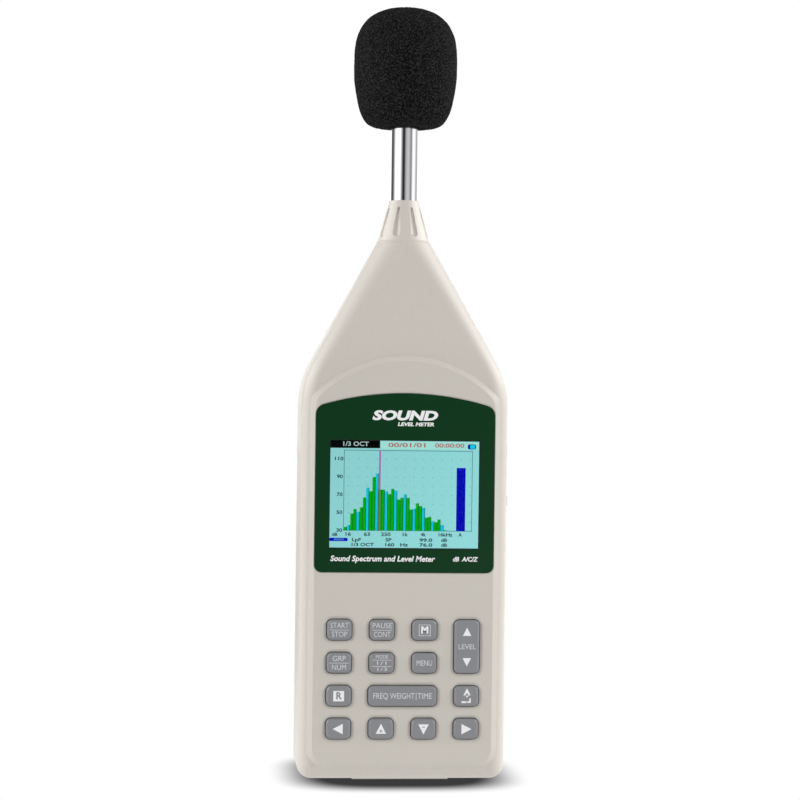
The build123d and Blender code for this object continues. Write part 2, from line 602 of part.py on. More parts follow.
def make_nose_cone():
    """Fluted cone that closes the two shells and guides the stem."""
    bore = STEM_RADIUS + 0.05
    ring_top = NECK_TOP_Z + CONE_RING
    profile = Polyline((bore, CONE_SPIGOT_Z), (CONE_SPIGOT, CONE_SPIGOT_Z), (CONE_SPIGOT, NECK_TOP_Z),
                       (NECK_RADIUS, NECK_TOP_Z), (NECK_RADIUS, ring_top), (NECK_RADIUS - 0.5, ring_top + 0.4),
                       (CONE_TOP_RADIUS, CONE_TOP_Z), (bore, CONE_TOP_Z), close=True)
    cone = revolve(Plane.XZ * make_face(profile), axis=Axis.Z)
    lean = math.degrees(math.atan((NECK_RADIUS - CONE_TOP_RADIUS) / (CONE_TOP_Z - ring_top)))
    low_radius = 2.3
    length = CONE_TOP_Z - ring_top - 6.6
    flute = Cone(low_radius, 0.5, length, align=(Align.CENTER, Align.CENTER, Align.MIN)) + Sphere(low_radius)
    low_z = ring_top + 4.2
    surface = NECK_RADIUS - (low_z - ring_top) * math.tan(math.radians(lean))
    for number in range(FLUTES):
        turn = 360.0 / FLUTES * (number + 0.5)
        cone -= Rot(0, 0, turn) * Pos(surface + low_radius - 1.3, 0, low_z) * Rot(0, -lean - 6.5, 0) * flute
    return cone


def make_stem():
    """Plated preamplifier tube with a collar inside the neck."""
    stem = rod_z(0, 0, STEM_RADIUS, *STEM_Z) + rod_z(0, 0, 9.0, 239.0, 242.0)
    return stem - rod_z(0, 0, STEM_BORE, STEM_Z[0] - 1, STEM_Z[1] + 1)


def make_mic_grid():
    """Slotted protection cap over the diaphragm."""
    low = CAPSULE_TOP_Z
    cap = fillet(rod_z(0, 0, CAPSULE_RADIUS, low, MIC_TIP_Z).faces().sort_by(Axis.Z)[-1].edges(), 0.8)
    cap -= rod_z(0, 0, CAPSULE_RADIUS - 0.7, low - 1, MIC_TIP_Z - 0.9)
    for number in range(6):
        slot = block((1.6, 4.9), (-0.45, 0.45), (MIC_TIP_Z - 2, MIC_TIP_Z + 1))
        cap -= Rot(0, 0, 60 * number) * slot
        side_slot = block((CAPSULE_RADIUS - 2, CAPSULE_RADIUS + 1), (-0.5, 0.5), (low + 3.5, low + 7))
        cap -= Rot(0, 0, 60 * number + 30) * side_slot
    return cap


def make_windscreen():
    """Foam ball with a blind bore that slides over the microphone and stem."""
    profile = ((14.0, 0.0), (17.6, 1.6), (20.0, 5.0), (22.7, 14.3), (23.95, 23.5), (24.0, 31.5), (23.4, 40.0),
               (20.2, 48.3), (16.5, 52.3), (11.5, 55.0), (8.0, FOAM_TOP_Z - FOAM_LOW_Z))
    side = Spline(*[(radius, FOAM_LOW_Z + rise) for radius, rise in profile])
    rest = Polyline((8.0, FOAM_TOP_Z), (0, FOAM_TOP_Z), (0, MIC_TIP_Z + 0.8), (SCREEN_BORE, MIC_TIP_Z + 0.8),
                    (SCREEN_BORE, FOAM_LOW_Z), (14.0, FOAM_LOW_Z))
    return revolve(Plane.XZ * make_face(side.edges() + rest.edges()), axis=Axis.Z)


parts["nose_cone"] = make_nose_cone()
parts["preamp_tube"] = make_stem()
parts["preamp_board"] = block((-4.0, 4.0), (-0.7, 0.7), (244.0, 314.0))
parts["mic_housing"] = (rod_z(0, 0, CAPSULE_RADIUS, STEM_Z[1], CAPSULE_TOP_Z)
                        - rod_z(0, 0, CAPSULE_RADIUS - 1.2, STEM_Z[1] - 1, CAPSULE_TOP_Z + 1))
insulator_z = (CAPSULE_TOP_Z - 6.0, CAPSULE_TOP_Z - 3.5)
parts["mic_insulator"] = rod_z(0, 0, CAPSULE_RADIUS - 1.22, *insulator_z)
parts["mic_backplate"] = rod_z(0, 0, 4.4, insulator_z[1], CAPSULE_TOP_Z - 0.1)
parts["mic_diaphragm"] = rod_z(0, 0, CAPSULE_RADIUS - 0.72, CAPSULE_TOP_Z, CAPSULE_TOP_Z + 0.3)
parts["mic_grid"] = make_mic_grid()
parts["windscreen"] = make_windscreen()


# ---------------------------------------------------------------- leads held inside the case

mic_lead_route = [(0, 0, 244.0), (0, 0, 205.0), (0, LEAD_Y, 190.0), (0, LEAD_Y, CONNECTOR_TOP_Z)]
parts["mic_lead"] = tube_path(mic_lead_route, 1.4, 12.0)
battery_lead_routes = [[(x, 4.0, TRAY_Z[1]), (x, 4.0, BATTERY_LEAD_Z + 8), (x * 0.25, LEAD_Y, BATTERY_LEAD_Z + 14),
                        (x * 0.25, LEAD_Y, BATTERY_LEAD_Z + 3)] for x in (-9.0, 9.0)]
parts["battery_leads"] = Compound(children=[tube_path(route, 0.8, 2.5) for route in battery_lead_routes])


# ---------------------------------------------------------------- output

os.makedirs("parts", exist_ok=True)
for name, shape in parts.items():
    export_step(shape, f"parts/{name}.step")
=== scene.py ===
import json
import math

import bmesh
import bpy
from mathutils import Matrix, Vector, noise


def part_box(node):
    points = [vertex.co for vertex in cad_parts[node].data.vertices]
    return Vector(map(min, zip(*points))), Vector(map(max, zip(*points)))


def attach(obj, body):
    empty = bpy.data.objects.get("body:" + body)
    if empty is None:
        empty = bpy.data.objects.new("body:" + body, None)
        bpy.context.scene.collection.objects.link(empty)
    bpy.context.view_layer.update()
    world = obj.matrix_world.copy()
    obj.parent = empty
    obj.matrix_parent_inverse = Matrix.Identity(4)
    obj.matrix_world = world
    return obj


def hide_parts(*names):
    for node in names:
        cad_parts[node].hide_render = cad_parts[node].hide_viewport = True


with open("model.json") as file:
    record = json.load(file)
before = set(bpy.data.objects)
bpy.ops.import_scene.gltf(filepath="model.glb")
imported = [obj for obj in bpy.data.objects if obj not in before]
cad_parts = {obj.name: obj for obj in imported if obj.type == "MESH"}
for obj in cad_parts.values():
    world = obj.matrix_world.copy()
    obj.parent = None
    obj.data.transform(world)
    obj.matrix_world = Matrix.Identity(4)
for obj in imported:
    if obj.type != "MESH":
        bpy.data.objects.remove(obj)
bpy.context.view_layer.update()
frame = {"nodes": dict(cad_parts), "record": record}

MM = 0.001
BODY = "meter_body"
nodes = frame["nodes"]


# ---------------------------------------------------------------- materials

def linear(red, green, blue):
    """An sRGB colour, 0 to 255, as a linear colour with alpha."""
    def channel(value):
        value /= 255.0
        return value / 12.92 if value <= 0.04045 else ((value + 0.055) / 1.055) ** 2.4
    return (channel(red), channel(green), channel(blue), 1.0)


class Look:
    """A node-built material: a Principled shader, with helpers for grain, mottling and a painted highlight on
    edges.
    """

    def __init__(self, name, colour, roughness, metallic=0.0, **sockets):
        self.material = bpy.data.materials.new(name)
        self.material.use_nodes = True
        self.nodes = self.material.node_tree.nodes
        self.links = self.material.node_tree.links
        self.shader = self.nodes["Principled BSDF"]
        self.colour = colour
        self.roughness = roughness
        self.set("Base Color", colour)
        self.set("Roughness", roughness)
        self.set("Metallic", metallic)
        for socket, value in sockets.items():
            self.set(socket.replace("_", " "), value)
        self.position = self.nodes.new("ShaderNodeTexCoord").outputs["Object"]
        self.normal = None

    def set(self, socket, value):
        self.shader.inputs[socket].default_value = value

    def noise(self, size_mm, detail=4.0, stretch=(1.0, 1.0, 1.0)):
        """Noise whose grain is about size_mm across, longer along an axis by its stretch."""
        mapping = self.nodes.new("ShaderNodeMapping")
        mapping.inputs["Scale"].default_value = [1.0 / (size_mm * MM * s) for s in stretch]
        texture = self.nodes.new("ShaderNodeTexNoise")
        texture.inputs["Scale"].default_value = 1.0
        texture.inputs["Detail"].default_value = detail
        self.links.new(self.position, mapping.inputs["Vector"])
        self.links.new(mapping.outputs["Vector"], texture.inputs["Vector"])
        return texture.outputs["Fac"]

    def spread(self, source, low, high, low_at=0.3, high_at=0.7):
        """Maps a value to a range."""
        node = self.nodes.new("ShaderNodeMapRange")
        node.inputs["From Min"].default_value = low_at
        node.inputs["From Max"].default_value = high_at
        node.inputs["To Min"].default_value = low
        node.inputs["To Max"].default_value = high
        self.links.new(source, node.inputs["Value"])
        return node.outputs["Result"]

    def add(self, first, second):
        """The sum of two values."""
        node = self.nodes.new("ShaderNodeMath")
        self.links.new(first, node.inputs[0])
        self.links.new(second, node.inputs[1])
        return node.outputs["Value"]

    def tint(self, source, low, high, low_at=0.3, high_at=0.7, socket="Base Color"):
        """Mottles the colour between low and high times itself."""
        ramp = self.nodes.new("ShaderNodeValToRGB")
        ramp.color_ramp.elements[0].position = low_at
        ramp.color_ramp.elements[1].position = high_at
        for element, factor in zip(ramp.color_ramp.elements, (low, high)):
            element.color = [channel * factor for channel in self.colour[:3]] + [1.0]
        self.links.new(source, ramp.inputs["Fac"])
        self.links.new(ramp.outputs["Color"], self.shader.inputs[socket])
        return self

    def uneven_gloss(self, source, by):
        """Roughness that varies by that much either way."""
        value = self.spread(source, self.roughness - by, self.roughness + by)
        self.links.new(value, self.shader.inputs["Roughness"])
        return self

    def soften_edges(self, radius_mm):
        """Rounds sharp edges in the shading."""
        node = self.nodes.new("ShaderNodeBevel")
        node.samples = 6
        node.inputs["Radius"].default_value = radius_mm * MM
        self.normal = node.outputs["Normal"]
        self.links.new(self.normal, self.shader.inputs["Normal"])
        return self

    def pale_edges(self, radius_mm, gain):
        """Painted highlight: a paler colour where the surface turns sharply, standing in for the light that
        edges catch.
        """
        rounded_normal = self.nodes.new("ShaderNodeBevel")
        rounded_normal.samples = 6
        rounded_normal.inputs["Radius"].default_value = radius_mm * MM
        surface = self.nodes.new("ShaderNodeNewGeometry")
        agreement = self.nodes.new("ShaderNodeVectorMath")
        agreement.operation = "DOT_PRODUCT"
        self.links.new(rounded_normal.outputs["Normal"], agreement.inputs[0])
        self.links.new(surface.outputs["Normal"], agreement.inputs[1])
        factor = self.spread(agreement.outputs["Value"], gain, 1.0, 0.93, 0.998)
        scaled = self.nodes.new("ShaderNodeVectorMath")
        scaled.operation = "SCALE"
        base = self.shader.inputs["Base Color"]
        self.links.new(base.links[0].from_socket, scaled.inputs[0])
        self.links.new(factor, scaled.inputs["Scale"])
        self.links.new(scaled.outputs["Vector"], base)
        return self

    def bump(self, source, depth_mm, strength=1.0):
        """A fine relief."""
        node = self.nodes.new("ShaderNodeBump")
        node.inputs["Distance"].default_value = depth_mm * MM
        node.inputs["Strength"].default_value = strength
        self.links.new(source, node.inputs["Height"])
        if self.normal:
            self.links.new(self.normal, node.inputs["Normal"])
        self.normal = node.outputs["Normal"]
        self.links.new(self.normal, self.shader.inputs["Normal"])
        return self


BLACK = (0.0, 0.0, 0.0, 1.0)


# Width of the painted highlight along sharp edges.
EDGE_HIGHLIGHT_MM = 0.6


def moulded(name, colour, roughness, grain_mm=0.35, depth_mm=0.02, edges_mm=0.25, mottle=0.025,
            edge_highlight_gain=1.0, **sockets):
    """Moulded plastic: faint mottling, spark-eroded grain, softened edges and, with a gain above one, a painted
    highlight on sharp edges.
    """
    look = Look(name, colour, roughness, **sockets)
    look.tint(look.noise(0.5, 5.0), 1.0 - mottle, 1.0 + mottle)
    if edge_highlight_gain > 1.0:
        look.pale_edges(EDGE_HIGHLIGHT_MM, edge_highlight_gain)
    look.uneven_gloss(look.noise(3.0), 0.03)
    look.soften_edges(edges_mm)
    return look.bump(look.noise(grain_mm, 6.0), depth_mm).material


def metal(name, colour, roughness, grain_mm=0.2, stretch=(1.0, 1.0, 1.0), depth_mm=0.003, mottle=0.05):
    """Bare or plated metal with a fine grain and patchy gloss."""
    look = Look(name, colour, roughness, metallic=1.0)
    look.tint(look.noise(4.0), 1.0 - mottle, 1.0 + mottle)
    look.uneven_gloss(look.noise(grain_mm, 3.0, stretch), roughness * 0.35)
    return look.bump(look.noise(grain_mm, 3.0, stretch), depth_mm).material


def shown(name, colour, strength=1.0, uneven=False):
    """A lit patch of the display: glowing, with the faint grid of its dots; uneven brightens the far side."""
    look = Look(name, colour, 0.4, Specular_IOR_Level=0.0)
    look.set("Base Color", BLACK)
    grid = look.noise(0.6, 2.0)
    if uneven:
        split = look.nodes.new("ShaderNodeSeparateXYZ")
        look.links.new(look.position, split.inputs["Vector"])
        side = look.spread(split.outputs["X"], -0.1, 0.3, -0.035, 0.035)
        grid = look.add(look.add(grid, side), look.spread(split.outputs["Z"], 0.12, -0.12, 0.107, 0.158))
    look.tint(grid, 0.92, 1.06, 0.3, 0.9, socket="Emission Color")
    look.uneven_gloss(look.noise(2.0), 0.03)
    look.set("Emission Strength", strength)
    return look.material


def make_foam():
    """Black open-cell foam: near-black, speckled darker and paler at random, the sparse palest specks being
    painted glints.
    """
    look = Look("foam", linear(31, 31, 32), 0.95, Specular_IOR_Level=0.05)
    # Random speckle, whose brightest specks are painted glints on the foam's struts.
    look.tint(look.noise(0.75, 6.0), 0.3, 3.6, 0.44, 0.76)
    look.uneven_gloss(look.noise(1.2), 0.04)
    return look.bump(look.noise(0.8, 4.0), 0.5).material


def make_window():
    """Clear acrylic pane: almost nothing but its gloss."""
    look = Look("window_clear", linear(22, 28, 28), 0.06, Alpha=0.06)
    look.uneven_gloss(look.noise(6.0), 0.02)
    look.bump(look.noise(25.0), 0.004)
    look.material.surface_render_method = "BLENDED"
    return look.material


CASE_COLOUR = linear(214, 208, 199)
GREEN = linear(4, 56, 25)
looks = {
    # The case and the keys get a painted highlight on their sharp edges and key rims.
    "case": moulded("case", CASE_COLOUR, 0.42, mottle=0.045, edge_highlight_gain=1.07),
    "key_grey": moulded("key_grey", linear(141, 142, 146), 0.42, grain_mm=0.25, depth_mm=0.012, edge_highlight_gain=1.12),
    "overlay_green": moulded("overlay_green", GREEN, 0.22, grain_mm=0.15, depth_mm=0.001, edges_mm=0.1,
                             Specular_IOR_Level=0.12),
    "window_clear": make_window(),
    "display": shown("display", linear(150, 223, 224), uneven=True),
    "backlight": moulded("backlight", linear(235, 238, 240), 0.5),
    "plated": metal("plated", linear(236, 235, 238), 0.09, grain_mm=0.4, depth_mm=0.0008, mottle=0.01),
    "steel": metal("steel", linear(190, 190, 192), 0.3),
    "ribbon": moulded("ribbon", linear(190, 120, 50), 0.4),
    "silicone": moulded("silicone", linear(130, 130, 132), 0.7),
    "board": moulded("board", linear(20, 96, 54), 0.35, grain_mm=0.6),
    "black_plastic": moulded("black_plastic", linear(30, 30, 32), 0.5),
    "white_plastic": moulded("white_plastic", linear(226, 224, 216), 0.5),
    "socket_metal": metal("socket_metal", linear(196, 196, 196), 0.25),
    "insert_brass": metal("insert_brass", linear(206, 172, 102), 0.28),
    "cell_wrap": moulded("cell_wrap", linear(40, 46, 66), 0.3),
    "lead": moulded("lead", linear(44, 44, 46), 0.55),
    "foam": make_foam(),
}
slot_of = {row["node"]: row["material_slot"] for row in frame["record"]["subparts"]}
for node_name, node in nodes.items():
    node.data.materials.clear()
    node.data.materials.append(looks[slot_of[node_name]])

ink_white = moulded("ink_white", linear(252, 252, 253), 0.5, depth_mm=0.002, edges_mm=0.02)
ink_pale = moulded("ink_pale", linear(222, 223, 226), 0.5, depth_mm=0.002, edges_mm=0.02)
ink_grey = moulded("ink_grey", linear(143, 144, 147), 0.5, depth_mm=0.002, edges_mm=0.02)


# ---------------------------------------------------------------- flat work: legends and display marks

def keep(piece, material, body=BODY):
    """Gives a piece its material and slot, and lets it ride on a body."""
    piece.data.materials.clear()
    piece.data.materials.append(material)
    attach(piece, body)
    return piece


def sheet_mesh(name, outlines, y, thickness):
    """Thin closed plates from front-view outlines, each a list of (x, z) in millimetres, front face at y."""
    mesh = bpy.data.meshes.new(name)
    build = bmesh.new()
    for outline in outlines:
        front = [build.verts.new((x * MM, y * MM, z * MM)) for x, z in outline]
        back = [build.verts.new((x * MM, (y + thickness) * MM, z * MM)) for x, z in outline]
        build.faces.new(front)
        build.faces.new(back[::-1])
        for this in range(len(outline)):
            after = (this + 1) % len(outline)
            build.faces.new((front[after], front[this], back[this], back[after]))
    bmesh.ops.recalc_face_normals(build, faces=build.faces)
    build.to_mesh(mesh)
    build.free()
    piece = bpy.data.objects.new(name, mesh)
    bpy.context.scene.collection.objects.link(piece)
    return piece


def rectangle(left, low, right, high):
    return [(left, low), (right, low), (right, high), (left, high)]


def rounded(left, low, right, high, radius, steps=5):
    """A rectangle with round corners."""
    points = []
    corners = ((right - radius, low + radius, -90), (right - radius, high - radius, 0),
               (left + radius, high - radius, 90), (left + radius, low + radius, 180))
    for x, z, start in corners:
        for step in range(steps + 1):
            angle = math.radians(start + 90.0 * step / steps)
            points.append((x + radius * math.cos(angle), z + radius * math.sin(angle)))
    return points


def frame_bars(left, low, right, high, width):
    """The four bars of a rectangular frame."""
    return [rectangle(left, low, right, low + width), rectangle(left, high - width, right, high),
            rectangle(left, low + width, left + width, high - width),
            rectangle(right - width, low + width, right, high - width)]


CAP_PER_SIZE = 0.7


def lettering(name, rows, y, thickness, boldness=0.0, slant=0.0):
    """One mesh of letters. Each row is (text, x, z, cap height, width, align), in millimetres."""
    joined = bmesh.new()
    for text, x, z, cap, width, align in rows:
        curve = bpy.data.curves.new(name, "FONT")
        curve.body = text
        curve.align_x = align
        curve.align_y = "CENTER"
        curve.size = cap / CAP_PER_SIZE
        curve.extrude = thickness / 2
        curve.offset = boldness
        curve.shear = slant
        curve.resolution_u = 3
        holder = bpy.data.objects.new(name, curve)
        mesh = bpy.data.meshes.new_from_object(holder)
        reach = [vertex.co.x for vertex in mesh.vertices]
        stretch = width / (max(reach) - min(reach))
        upright = Matrix.Rotation(math.radians(90), 4, "X") @ Matrix.Diagonal((stretch, 1.0, 1.0, 1.0))
        mesh.transform(Matrix.Scale(MM, 4) @ Matrix.Translation((x, y + thickness / 2, z)) @ upright)
        joined.from_mesh(mesh)
        bpy.data.meshes.remove(mesh)
        bpy.data.objects.remove(holder)
        bpy.data.curves.remove(curve)
    bmesh.ops.remove_doubles(joined, verts=joined.verts, dist=1e-7)
    mesh = bpy.data.meshes.new(name)
    joined.to_mesh(mesh)
    joined.free()
    piece = bpy.data.objects.new(name, mesh)
    bpy.context.scene.collection.objects.link(piece)
    return piece


# ---------------------------------------------------------------- display picture

glass_low, glass_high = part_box("lcd_glass")
glass_y = glass_low[1] / MM
SCREEN_W = 70.2
SCREEN_H = 50.6
# The picture has its own layout: u to the right and v down from its top left corner, in its own units.
PICTURE_W = 70.0
PICTURE_H = 51.3
SCREEN_TOP = (glass_low[2] + glass_high[2]) / 2 / MM + SCREEN_H / 2
LAYER = 0.03


def across(u):
    """Picture distance from the left edge as x."""
    return (u / PICTURE_W - 0.5) * SCREEN_W


def down(v):
    """Picture distance from the top edge as z."""
    return SCREEN_TOP - v * SCREEN_H / PICTURE_H


def patch(u_from, v_from, u_to, v_to):
    """A rectangle on the screen from its top left to its bottom right."""
    return rectangle(across(u_from), down(v_to), across(u_to), down(v_from))


def marks(name, outlines, colour, layer, strength=1.0):
    """Lit marks on one layer of the display."""
    piece = sheet_mesh(name, outlines, glass_y - LAYER * layer, LAYER)
    return keep(piece, shown(name, colour, strength))


def screen_text(name, rows, colour, layer):
    """Lettering on the screen; each row is (text, u, v, cap height, width)."""
    placed = [(text, across(u), down(v), cap, width, "CENTER") for text, u, v, cap, width in rows]
    piece = lettering(name, placed, glass_y - LAYER * layer, LAYER, 0.06)
    return keep(piece, shown(name, colour))


PLOT_LEFT, PLOT_RIGHT, PLOT_TOP, PLOT_FOOT = 6.95, 66.6, 4.9, 42.8
PLOT_LINE = 0.25
DB_FOOT = 30.0
DB_HIGH = 110.0
DB_HIGH_V = 9.1
DB_STEP = (PLOT_FOOT - DB_HIGH_V) / (DB_HIGH - DB_FOOT)
BAR_PITCH = 1.45
BAR_START = PLOT_LEFT + 0.05
BAR_LIT_SHARE = 0.78
BAND_DB = (34, 36, 49, 54, 51, 56, 67, 78, 74, 90, 94, 76, 76, 74, 71, 77, 75,
           65, 67, 71, 67, 54, 55, 61, 58, 56, 45, 46, 41, 40, 43, 37, 31)
CURSOR_BAND = 11
CURSOR_W = 0.75
OVERALL_DB = 101.0
OVERALL_LEFT, OVERALL_RIGHT = 59.2, 63.4
DOT = 0.32
DOT_OCTAVES = 14
TITLE_V = 2.1
CLOCK_V = 2.5
SCALE_V = 44.6
READING_V = (47.2, 49.5)
SMALL_CAP = 1.5
SCALE_CAP = 1.6


def level_v(db):
    """Height of a level on the plot."""
    return PLOT_FOOT - (db - DB_FOOT) * DB_STEP


def make_spectrum():
    """Third-octave bars with darker edges, the cursor through one of them, and the overall bar."""
    green_bars, cyan_bars, edges = [], [], []
    for band, db in enumerate(BAND_DB):
        left = BAR_START + band * BAR_PITCH
        bar = patch(left, level_v(db), left + BAR_PITCH, PLOT_FOOT)
        (cyan_bars if band % 3 == 1 else green_bars).append(bar)
        edges.append(patch(left + BAR_LIT_SHARE * BAR_PITCH, level_v(db) + 0.1, left + BAR_PITCH, PLOT_FOOT))
    marks("display_bars_green", green_bars, linear(0, 178, 14), 2)
    marks("display_bars_cyan", cyan_bars, linear(10, 205, 232), 2)
    marks("display_bars_edges", edges, linear(0, 96, 30), 3)
    cursor_u = PLOT_LEFT + BAR_PITCH * (CURSOR_BAND + 0.1)
    cursor_v = level_v(BAND_DB[CURSOR_BAND])
    marks("display_cursor", [patch(cursor_u, PLOT_TOP, cursor_u + CURSOR_W, cursor_v)], linear(176, 96, 178), 3)
    marks("display_cursor_foot", [patch(cursor_u, cursor_v, cursor_u + CURSOR_W, PLOT_FOOT)],
          linear(120, 120, 96), 3)
    overall = patch(OVERALL_LEFT, level_v(OVERALL_DB), OVERALL_RIGHT, PLOT_FOOT)
    marks("display_overall_bar", [overall], linear(0, 4, 186), 3)


def make_plot_frame():
    """The line round the plot, and a dot at every octave and every 10 dB inside it."""
    lines = frame_bars(across(PLOT_LEFT - PLOT_LINE), down(PLOT_FOOT + 0.12), across(PLOT_RIGHT),
                       down(PLOT_TOP), PLOT_LINE)
    marks("display_plot_frame", lines, linear(60, 112, 112), 1)
    dots = []
    for octave in range(DOT_OCTAVES):
        u = PLOT_LEFT + 1.9 + octave * BAR_PITCH * 3
        for db in range(40, 120, 10):
            dots.append(patch(u, level_v(db) - DOT / 2, u + DOT, level_v(db) + DOT / 2))
    inside = [dot for dot in dots if dot[1][0] < across(PLOT_RIGHT - 0.5)]
    marks("display_grid_dots", inside, linear(70, 138, 136), 1)


def make_status_marks():
    """The dark title field, the pale strip for the clock, the mode pill and the battery sign."""
    marks("display_header", [patch(0.1, 0.1, 23.4, 4.0)], linear(2, 3, 3), 1)
    marks("display_header_strip", [patch(23.6, 0.7, 69.4, 4.3)], linear(170, 236, 224), 1)
    pill = rounded(across(0.3), down(47.9), across(8.9), down(46.3), 0.7)
    marks("display_pill", [pill], linear(0, 4, 190), 1)
    battery = rounded(across(64.2), down(4.1), across(68.2), down(1.7), 0.9)
    marks("display_battery", [battery], linear(0, 30, 170), 2)
    charge = rounded(across(65.4), down(3.8), across(67.7), down(2.0), 0.4)
    marks("display_battery_charge", [charge], linear(20, 215, 235), 3)


def make_readings():
    """The title, the clock, the scales and the two lines of readings."""
    screen_text("display_text_header", [("1/3 OCT", 11.9, TITLE_V, 2.0, 11.9)], linear(176, 204, 200), 2)
    clock = [("00/01/01", 36.3, CLOCK_V, 1.9, 17.4), ("00:00:00", 55.8, CLOCK_V, 1.9, 13.8)]
    screen_text("display_text_clock", clock, linear(178, 112, 112), 2)
    screen_text("display_text_pill", [("MAIN", 4.7, 47.1, 1.1, 4.4)], linear(80, 130, 220), 2)
    levels = [(str(db), 6.2 - width / 2, level_v(db), SCALE_CAP, width)
              for db, width in ((110, 4.0), (90, 2.7), (70, 2.7), (50, 2.7), (30, 2.7))]
    bands = [(text, PLOT_LEFT + BAR_PITCH * (band + 0.5), SCALE_V, SCALE_CAP, width)
             for text, band, width in (("16", 0.8, 2.5), ("63", 7, 2.8), ("250", 13, 4.4), ("1k", 19, 2.4),
                                       ("4k", 25, 2.4), ("16kHz", 32, 6.5))]
    units = [("dB", 2.8, SCALE_V + 0.2, 1.4, 2.5), ("A", 61.2, SCALE_V, SCALE_CAP, 1.7)]
    lines = ((("LpF", 12.9, 4.2), ("SP", 27.8, 2.8), ("99.0", 45.2, 6.0), ("dB", 53.7, 2.8)),
             (("1/3 OCT", 15.6, 10.4), ("160   Hz", 31.3, 10.6), ("76.0", 45.2, 6.0), ("dB", 53.7, 2.8)))
    readings = [(text, u, v, SMALL_CAP, width) for v, line in zip(READING_V, lines) for text, u, width in line]
    screen_text("display_text_scale", levels + bands + units + readings, linear(26, 54, 56), 2)


def make_border():
    """Painted shade: black bars in the gap between the display and its opening, where the opening's edge shades
    it.
    """
    reach, width = 0.35, 0.75
    bars = frame_bars(-SCREEN_W / 2 - reach, SCREEN_TOP - SCREEN_H - reach, SCREEN_W / 2 + reach,
                      SCREEN_TOP + reach, width)
    keep(sheet_mesh("display_gap_shade", bars, glass_y - 0.12, 0.1), looks["black_plastic"])


make_spectrum()
make_plot_frame()
make_status_marks()
make_readings()
make_border()


# ---------------------------------------------------------------- printing on the green sheet

overlay_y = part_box("display_overlay")[0][1] / MM
PRINT = 0.03


def make_overlay_print():
    """A plain heading over the display, and a caption under it."""
    heading = [("SOUND", -0.6, 169.8, 4.1, 30.6, "CENTER")]
    keep(lettering("overlay_heading", heading, overlay_y - PRINT, PRINT, 0.3, 0.2), ink_white)
    rows = [("LEVEL METER", 4.6, 165.9, 1.6, 17.0, "CENTER"),
            ("Sound Spectrum and Level Meter", -10.2, 103.4, 2.5, 48.8, "CENTER"),
            ("dB  A/C/Z", 28.3, 103.4, 2.0, 11.8, "CENTER")]
    keep(lettering("overlay_lettering", rows, overlay_y - PRINT, PRINT, 0.1, 0.2), ink_white)


make_overlay_print()


# ---------------------------------------------------------------- key legends

def key_face(node_name):
    """The middle of a key's top: x, y of its face, and z, in millimetres."""
    low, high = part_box(node_name)
    return (low[0] + high[0]) / 2 / MM, low[1] / MM, (low[2] + high[2]) / 2 / MM


def triangle(x, z, size, turn):
    """An arrow head pointing along turn, in degrees from +X."""
    points = []
    for corner, reach in ((0, 0.62), (128, 0.68), (-128, 0.68)):
        angle = math.radians(turn + corner)
        points.append((x + size * reach * math.cos(angle), z + size * reach * math.sin(angle)))
    return points


def ink(node_name, suffix, outlines, material=None, layer=1):
    """Flat marks printed on a key, drawn about its middle."""
    x, y, z = key_face(node_name)
    moved = [[(x + dx, z + dz) for dx, dz in outline] for outline in outlines]
    piece = sheet_mesh(f"{node_name}_{suffix}", moved, y - PRINT * layer, PRINT * layer + 0.01)
    return keep(piece, material or ink_white, node_name)


def words(node_name, rows, suffix="text", material=None, layer=1, boldness=0.0):
    """Lettering printed on a key; each row is (text, dx, dz, cap height, width)."""
    x, y, z = key_face(node_name)
    placed = [(text, x + dx, z + dz, cap, width, "CENTER") for text, dx, dz, cap, width in rows]
    piece = lettering(f"{node_name}_{suffix}", placed, y - PRINT * layer, PRINT * layer + 0.01, boldness)
    return keep(piece, material or ink_pale, node_name)


RULE = rectangle(-4.5, -0.08, 4.5, 0.08)
words("key_start_stop", [("START", 0, 2.0, 2.5, 8.5), ("STOP", 0, -2.1, 2.5, 7.1)])
ink("key_start_stop", "rule", [RULE])
words("key_pause", [("PAUSE", 0, 2.0, 2.5, 9.0), ("CONT", 0, -2.1, 2.5, 7.7)])
ink("key_pause", "rule", [RULE])
words("key_group_number", [("GRP", 0, 2.0, 2.5, 6.1), ("NUM", 0, -2.1, 2.5, 6.5)])
ink("key_group_number", "rule", [RULE])
words("key_band_mode", [("MODE", 0, 2.9, 1.7, 5.6), ("1/1", 0, 0, 1.6, 4.4), ("1/3", 0, -2.9, 1.6, 4.4)])
ink("key_band_mode", "rules", [[(x, z + shift) for x, z in RULE] for shift in (1.45, -1.45)])
words("key_menu", [("MENU", 0, 0, 2.6, 7.2)])
ink("key_memory", "frame", frame_bars(-2.7, -2.6, 2.7, 2.6, 0.18))
words("key_memory", [("M", 0, 0, 3.1, 3.3)], "letter", ink_white, 1, 0.2)
ink("key_record", "plate", [rectangle(-2.5, -2.4, 2.5, 2.4)])
words("key_record", [("R", 0, 0, 3.2, 2.6)], "letter", ink_grey, 2, 0.12)
words("key_weight_time", [("FREQ WEIGHT", -4.1, 0, 2.7, 19.2), ("TIME", 10.3, 0, 2.7, 6.6)])
ink("key_weight_time", "rule", [rectangle(6.2, -1.7, 6.4, 1.7)])
words("key_level", [("LEVEL", 0, 0, 2.4, 8.0)])
ink("key_level", "arrows", [triangle(0, 6.7, 3.7, 90), triangle(0, -6.7, 3.7, -90)])
ink("key_left", "arrow", [triangle(0.2, 0, 4.5, 180)])
ink("key_right", "arrow", [triangle(-0.2, 0, 4.5, 0)])
ink("key_up", "arrow", [triangle(0, -0.3, 4.5, 90)])
ink("key_down", "arrow", [triangle(0, 0.3, 4.5, -90)])
